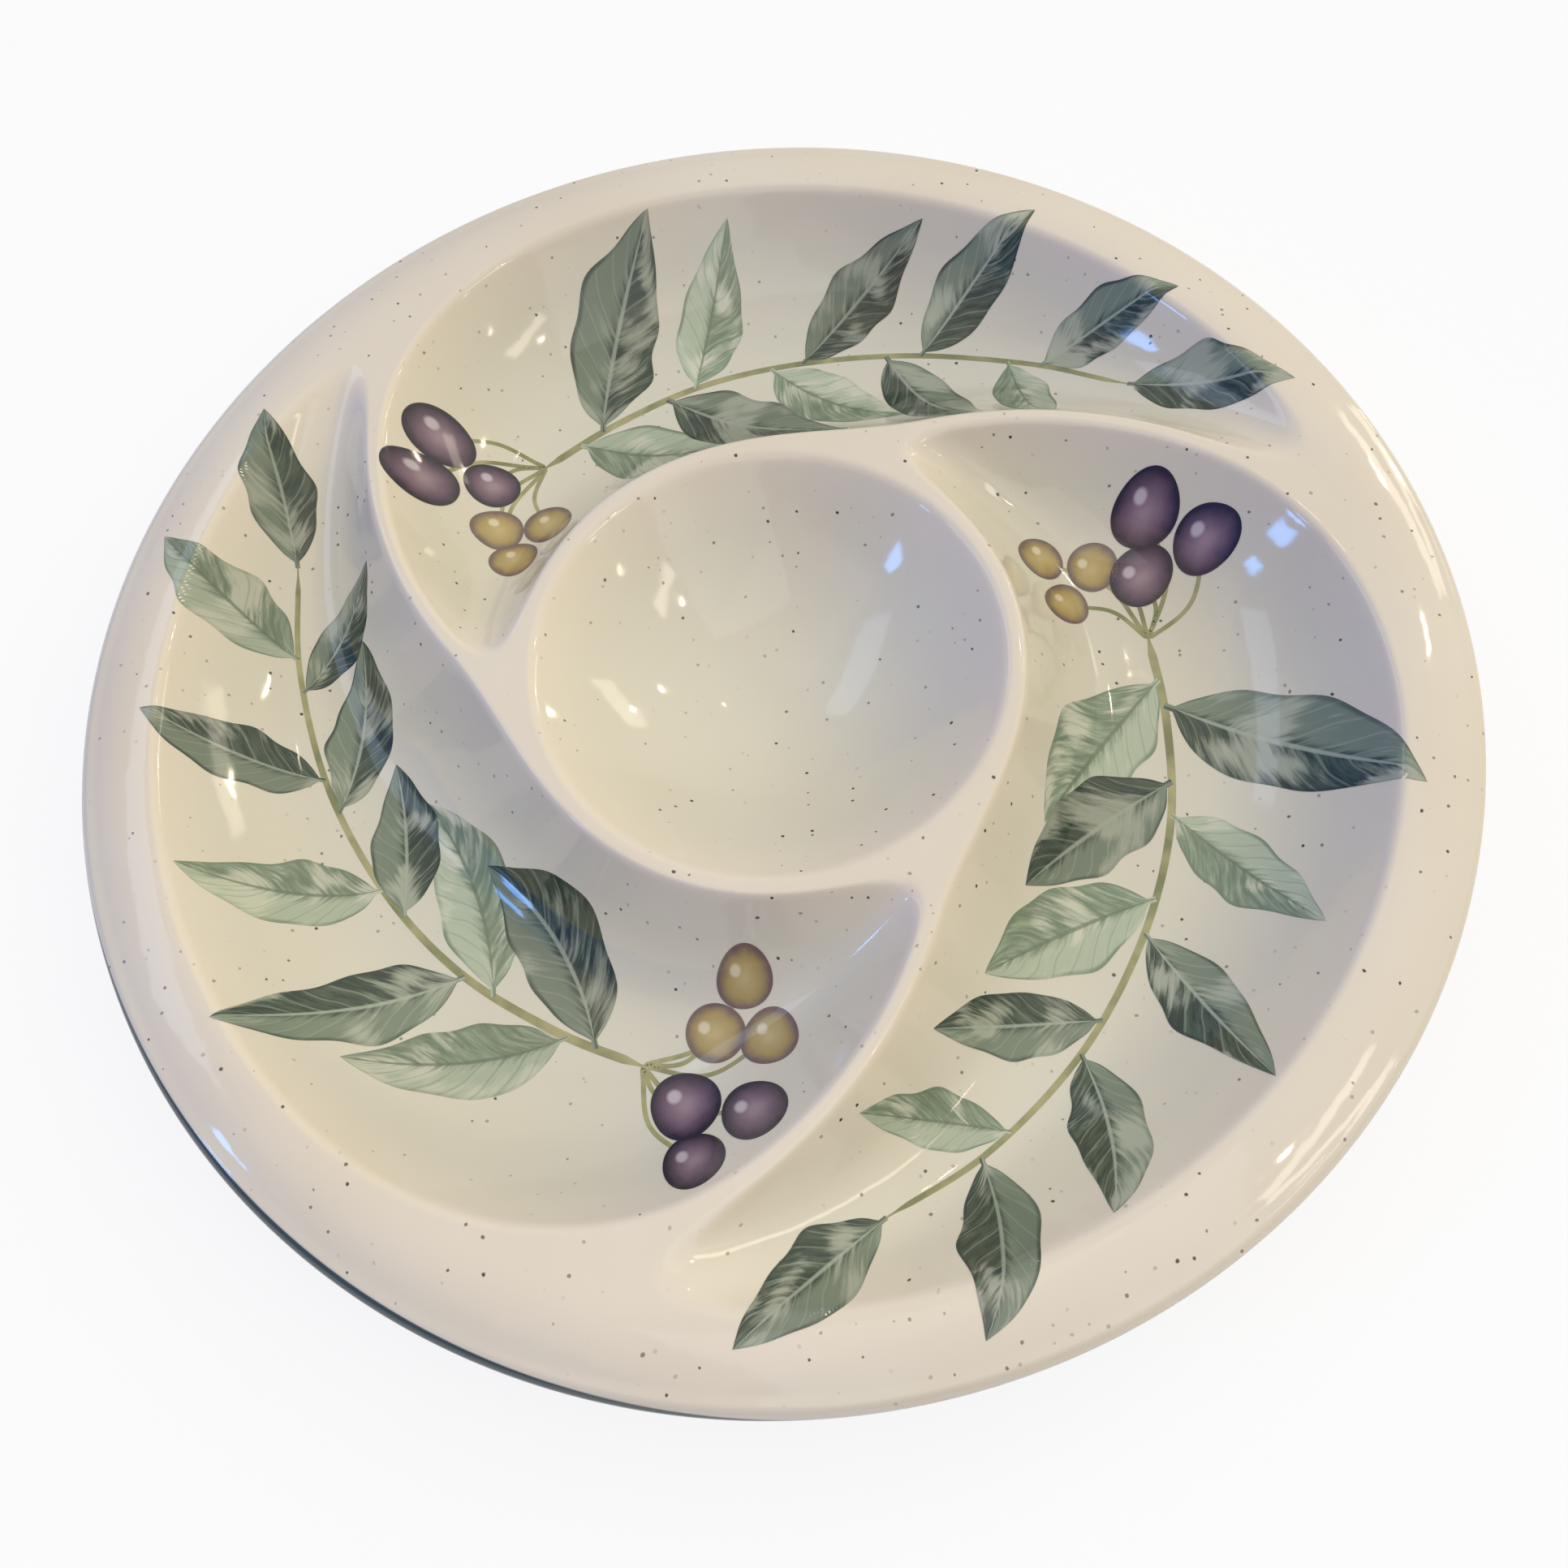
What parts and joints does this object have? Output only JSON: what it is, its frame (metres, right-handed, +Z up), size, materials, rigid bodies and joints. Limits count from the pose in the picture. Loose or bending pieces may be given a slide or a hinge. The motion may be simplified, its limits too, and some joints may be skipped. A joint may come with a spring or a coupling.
{
  "type": "divided serving dish",
  "caption": "Round glazed stoneware serving dish with a central dip bowl and comma-shaped wells that swirl out to a broad rim.",
  "frame": {"origin": "on the table under the middle of the dish", "axes": "+Z up out of the bowl; in the picture's view +X is to the right and +Y away from the viewer"},
  "size_m": [0.33, 0.33, 0.04],
  "materials": {
    "cream_glaze": "glossy speckled glaze over stoneware",
    "bare_clay": "matt unglazed stoneware"
  },
  "bodies": {
    "root": {"rim": "cream_glaze", "dip_bowl": "cream_glaze", "back_well": "cream_glaze", "left_well": "cream_glaze", "right_well": "cream_glaze", "right_divider": "cream_glaze", "left_divider": "cream_glaze", "front_divider": "cream_glaze", "foot_ring": "bare_clay"}
  },
  "joints": []
}
